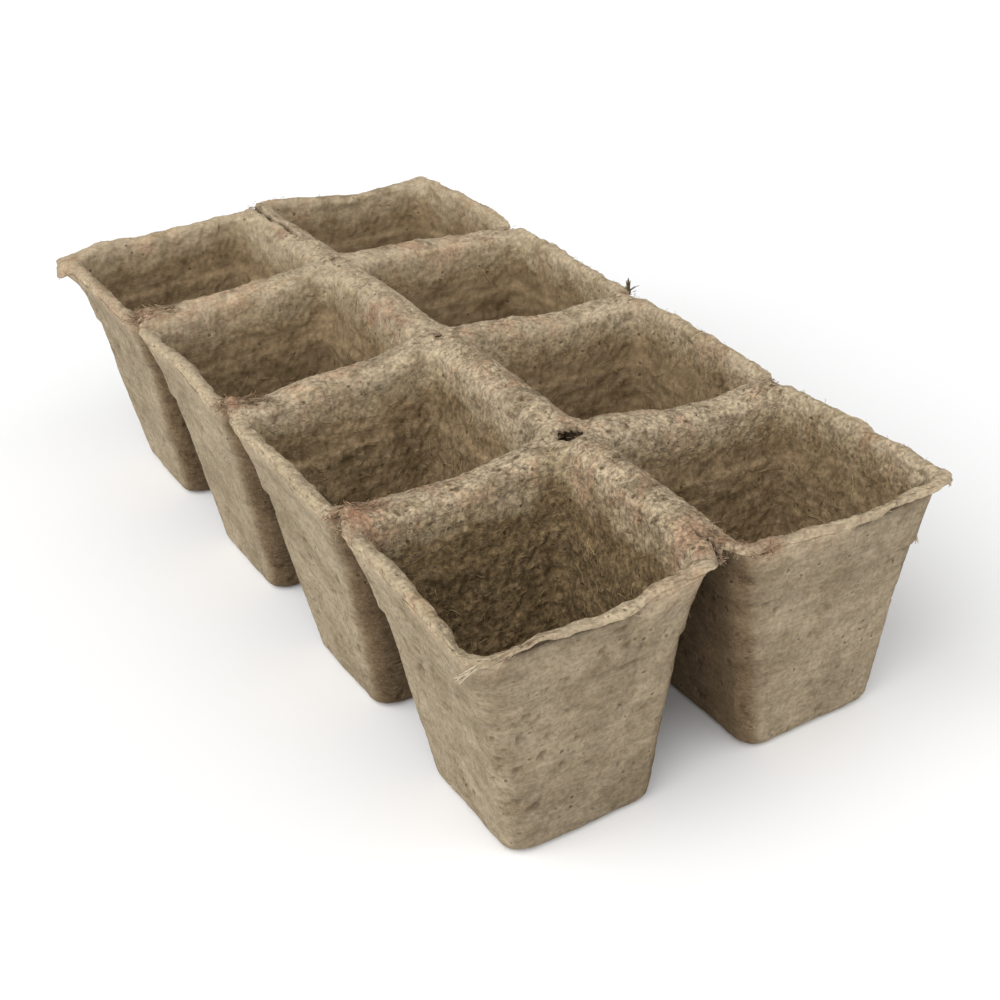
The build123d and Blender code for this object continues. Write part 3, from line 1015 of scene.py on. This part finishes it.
def pot_fibres(skin, zones, tint, draw, share):
    """Strands matted into a pot, by a share of their full number, and hairs along its free rims."""
    tint = tint.reshape(-1, 3)
    chances = {
        "inside": zones["inside"],
        "rim": zones["band"] + LIP_STRANDS * zones["lip"],
        "outside": zones["outside"] * (skin[..., 2] > LEAST_STRAND_LEVEL),
    }
    parts = []
    for where, number, length, radius, loose, straw, rarity in POT_STRANDS:
        count = round(share * number)
        paths, thick, start = laid_strands(skin, draw, chances[where], count, length, radius, loose)
        parts.append(tubes(paths, thick, strand_tints(tint[start], draw, straw, rarity)))
    out, along, across = skin_frame(skin)
    start = drawn_starts(draw, zones["lip"] * zones["free"], along, across, RIM_HAIRS)
    starts, ways = skin.reshape(-1, 3)[start], out.reshape(-1, 3)[start] * HAIR_HOLD
    paths, thick = free_hairs(starts, ways, draw, *HAIR_SHAPE)
    parts.append(tubes(paths, thick, strand_tints(tint[start], draw, HAIR_STRAW)))
    return parts


def corner_wisps(pot, skin, draw):
    """The bundles of fibre at the corners of one pot."""
    parts = []
    for name, ring, corner, way, count, length, radius, tone in WISPS:
        if name == pot:
            ring_points = skin[ring_near(KEY[ring])]
            start = ring_points[np.argmax(ring_points[:, :2] @ corner)]
            parts.append(wisp(start, way, draw, count, length, radius, tone))
    return parts


def torn_fibres(skin, zones, tint, draw):
    """Torn fibres on the rim of one pot, around the torn ends of its webs."""
    near = (zones["lip"] > 0.5) & (zones["free"] > 0.6) & (near_torn_end(skin) > 0.2)
    return [tuft(skin[near], tint[near], draw, *TORN_FIBRES)] if near.any() else []


for number, pot in enumerate(POTS):
    skin, zones = pot_skin(pot)
    tint = pot_tint(pot, skin, zones)
    rings, columns = skin.shape[:2]
    ring_of_edge = ring_near(KEY["lip_top"])
    rim_grain = RIM_GRAIN * coarseness(skin)
    rim_grain = rim_grain + (FREE_GRAIN - rim_grain) * zones["free"] * (1 - zones["band"])
    grain = np.where(zones["inside"] > 0, INNER_GRAIN[pot[1]] * COLUMN_COARSE[pot[0]], rim_grain)
    grain = 1 + (grain - 1) * np.clip(1 - zones["outside"], 0, 1)
    shell = new_piece(
        f"pot_{pot}_shell",
        [flat_part(skin, grid_faces(rings, columns), tint, grain)],
        matted_fibre,
        sharp_points=np.flatnonzero(zones["flush"][ring_of_edge] < 0.5) + ring_of_edge * columns,
    )
    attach(shell, "cell_" + pot)
    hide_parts("pot_" + pot)
    draw = np.random.default_rng(FIRST_POT_SEED + number)
    parts = pot_fibres(skin, zones, tint, draw, STRAND_SHARE[pot[1]] * COLUMN_COARSE[pot[0]])
    parts += corner_wisps(pot, skin, draw) + torn_fibres(skin, zones, tint, draw)
    fibres = new_piece(f"pot_{pot}_fibres", parts, loose_fibre)
    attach(fibres, "cell_" + pot)


# Tear webs

# How far the webs end short of the tray's outline, at its front and elsewhere
FRONT_SETBACK, OUTER_SETBACK = 3.0, 2.0
# Share of their length over which the centre webs have cracked open, from the low and from the high end of Y,
# and share of their half width by which the crack lies towards column b
CENTRE_CRACKS = {"1": (0, 0.72, 0), "2": (0, 0, 0), "3": (0, 0, 0), "4": (0.18, 0, -0.7)}
# Strands on a web: number, lengths, radii and lift at one end, and how far they are straw-coloured
WEB_STRANDS, WEB_STRAW = (90, (1.5, 6), (0.06, 0.14), 0.5), 0.45
# Tufts at a web's low and high outer end: sections that they cover, number of fibres, lengths and radii, and
# the number at an end that has cracked open
END_TUFTS = ((slice(0, 18), 90, (1.8, 5.0), (0.08, 0.24)), (slice(-14, None), 30, (0.8, 2.0), (0.07, 0.16)))
CRACKED_TUFT = 30
# How the tufts of webs along X and along Y lie and scatter
WEB_TUFTS = (((9, 2), (1.0, 0.3)), (TUFT_LIE, TUFT_SCATTER))
# Radii of the holes where four rims meet, and the tufts around them: number of fibres, lengths and radii
HOLES = {("1", "2"): 0.7, ("2", "3"): 1.4, ("3", "4"): 4.0}
HOLE_TUFT = (40, (1.5, 3.5), (0.08, 0.16))


def web_piece(name, draw, axis, line, span, outer, sides=(-1, 1), crack=(0, 0, 0)):
    """A tear web, or one side of it, with strands on it and a tuft at an outer end."""
    skin, cleft = web_strip(axis, line, span, outer, sides, crack)
    sections, around = skin.shape[:2]
    faces = np.concatenate([grid_faces(sections, around, close_rings=False), end_faces(sections, around)])
    if axis == 0:
        faces = faces[:, ::-1]
    # Painted shadow in the crack of a web
    tint = mix(rim_tint(skin), SHADOW_TONE, CLEFT_SHADOW_SHARE * cleft)
    parts = [flat_part(skin, faces, tint, RIM_GRAIN * coarseness(skin))]
    chance = np.zeros(skin.shape[:2])
    chance[2:-2, 1:around // 2 - 1] = 1
    chance *= 1 - cleft
    paths, thick, start = laid_strands(skin, draw, chance, *WEB_STRANDS)
    parts.append(tubes(paths, thick, strand_tints(tint.reshape(-1, 3)[start], draw, WEB_STRAW)))
    for is_outer, cracked, (there, count, length, radius) in zip(outer, crack, END_TUFTS):
        if is_outer:
            centres = skin[there, :around // 2][cleft[there, :around // 2] < 0.2]
            count = CRACKED_TUFT if cracked else count
            parts.append(tuft(centres, rim_tint(centres), draw, count, length, radius, *WEB_TUFTS[axis]))
    piece = new_piece(name, parts, matted_fibre)
    return piece


draw = np.random.default_rng(WEB_SEED)
for pair in ROW_PAIRS:
    upper, lower = pair
    line = CROSS_LINES[pair]
    outer = TRAY_HALF_X - OUTER_SETBACK
    inner = PITCH / 2 - WEB_HALF_LENGTH
    name = f"tear_web_a{upper}_a{lower}_strip"
    left = web_piece(name, draw, 0, line, (-outer, -inner), (True, False))
    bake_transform(left)
    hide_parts(f"tear_web_a{upper}_a{lower}")
    for row, sides in ((upper, (0, 1)), (lower, (-1, 0))):
        name = f"tear_web_b{upper}_b{lower}_half_{row}"
        half = web_piece(name, draw, 0, line, (inner, outer), (False, True), sides)
        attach(half, f"cell_b{row}")
        if row == upper:
            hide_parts(f"tear_web_b{upper}_b{lower}")

for row in ROWS:
    first, last = row == ROWS[0], row == ROWS[-1]
    low = -TRAY_HALF_Y + FRONT_SETBACK if last else ROW_Y[row] - WEB_HALF_LENGTH
    high = TRAY_HALF_Y - OUTER_SETBACK if first else ROW_Y[row] + WEB_HALF_LENGTH
    name = f"tear_web_a{row}_b{row}_strip"
    middle = web_piece(name, draw, 1, 0.0, (low, high), (last, first), crack=CENTRE_CRACKS[row])
    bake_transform(middle)
    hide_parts(f"tear_web_a{row}_b{row}")

for pair, hole in HOLES.items():
    skin = crossing_patch(CROSS_LINES[pair], hole)
    rings, columns = skin.shape[:2]
    faces = grid_faces(rings, columns)[:, ::-1]
    parts = [flat_part(skin, faces, rim_tint(skin), RIM_GRAIN * coarseness(skin))]
    edge = skin[rings // 2 - 3]
    parts.append(tuft(edge, rim_tint(edge), draw, *HOLE_TUFT))
    patch = new_piece(f"crossing_{pair[0]}_{pair[1]}", parts, matted_fibre)
    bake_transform(patch)


# Floor, light and camera, in metres

FLOOR_SPAN = 6.0
FLOOR_SURFACE = {"Base Color": (0.85, 0.85, 0.85, 1), "Roughness": 0.9, "Specular IOR Level": 0.1}
# The white surroundings are brightest at and below the horizon: heights of the fade, and strengths
SKY_FADE = {"From Min": 0.10, "From Max": 0.22, "To Min": 1.0, "To Max": 0.36}
# Lights: strength, and the way that they come from
LIGHTS = {"key_light": (3.15, (-1.25, -0.3, 1.15)), "fill_light": (1.28, (0.35, -1.0, 0.75))}
LIGHT_SPREAD = 75


def add_floor():
    """A pale floor under the tray."""
    mesh = bpy.data.meshes.new("floor")
    reach = FLOOR_SPAN / 2
    corners = [(-reach, -reach, 0), (reach, -reach, 0), (reach, reach, 0), (-reach, reach, 0)]
    mesh.from_pydata(corners, [], [(0, 1, 2, 3)])
    floor = bpy.data.objects.new("floor", mesh)
    bpy.context.scene.collection.objects.link(floor)
    paint = bpy.data.materials.new("floor_paint")
    paint.use_nodes = True
    shader = paint.node_tree.nodes["Principled BSDF"]
    for socket, value in FLOOR_SURFACE.items():
        shader.inputs[socket].default_value = value
    mesh.materials.append(paint)


def add_light():
    """Soft light from all round, stronger from above and the left."""
    world = bpy.data.worlds.new("studio")
    world.use_nodes = True
    nodes, links = world.node_tree.nodes, world.node_tree.links
    background = nodes["Background"]
    background.inputs["Color"].default_value = (1, 1, 1, 1)
    way, parts, dimmed = (nodes.new("ShaderNode" + kind) for kind in ("TexCoord", "SeparateXYZ", "MapRange"))
    for socket, value in SKY_FADE.items():
        dimmed.inputs[socket].default_value = value
    links.new(way.outputs["Generated"], parts.inputs["Vector"])
    links.new(parts.outputs["Z"], dimmed.inputs["Value"])
    links.new(dimmed.outputs["Result"], background.inputs["Strength"])
    bpy.context.scene.world = world
    for name, (strength, source) in LIGHTS.items():
        lamp = bpy.data.lights.new(name, "SUN")
        lamp.energy = strength
        lamp.angle = np.radians(LIGHT_SPREAD)
        light = bpy.data.objects.new(name, lamp)
        light.rotation_euler = Vector(source).to_track_quat("Z", "Y").to_euler()
        bpy.context.scene.collection.objects.link(light)


# Camera, as fitted to the photograph: angles in degrees, place in pot pitches, focal length in frame widths
CAMERA_AZIMUTH, CAMERA_ELEVATION, CAMERA_ROLL = -28.05, 30.895, -4.488
CAMERA_RIGHT, CAMERA_UP, CAMERA_BACK = 0.1749, 0.2495, 7.5427
CAMERA_FOCAL = 1.7152
SENSOR_WIDTH = 36.0


def add_camera():
    """The camera at the photograph's viewing angle."""
    azimuth, elevation, roll = np.radians((CAMERA_AZIMUTH, CAMERA_ELEVATION, CAMERA_ROLL))
    forward = np.cos(elevation)
    back = Vector((np.sin(azimuth) * forward, -np.cos(azimuth) * forward, np.sin(elevation)))
    right = Vector((np.cos(azimuth), np.sin(azimuth), 0))
    up = back.cross(right)
    right, up = np.cos(roll) * right + np.sin(roll) * up, np.cos(roll) * up - np.sin(roll) * right
    data = bpy.data.cameras.new("camera")
    data.sensor_width = SENSOR_WIDTH
    data.lens = CAMERA_FOCAL * SENSOR_WIDTH
    data.clip_start = 0.01
    camera = bpy.data.objects.new("camera", data)
    spot = (right * CAMERA_RIGHT + up * CAMERA_UP + back * CAMERA_BACK) * PITCH * MM
    camera.matrix_world = Matrix.Translation(spot) @ Matrix((right, up, back)).transposed().to_4x4()
    bpy.context.scene.collection.objects.link(camera)
    bpy.context.scene.camera = camera


add_floor()
add_light()
add_camera()
bpy.context.scene.view_settings.view_transform = "Standard"
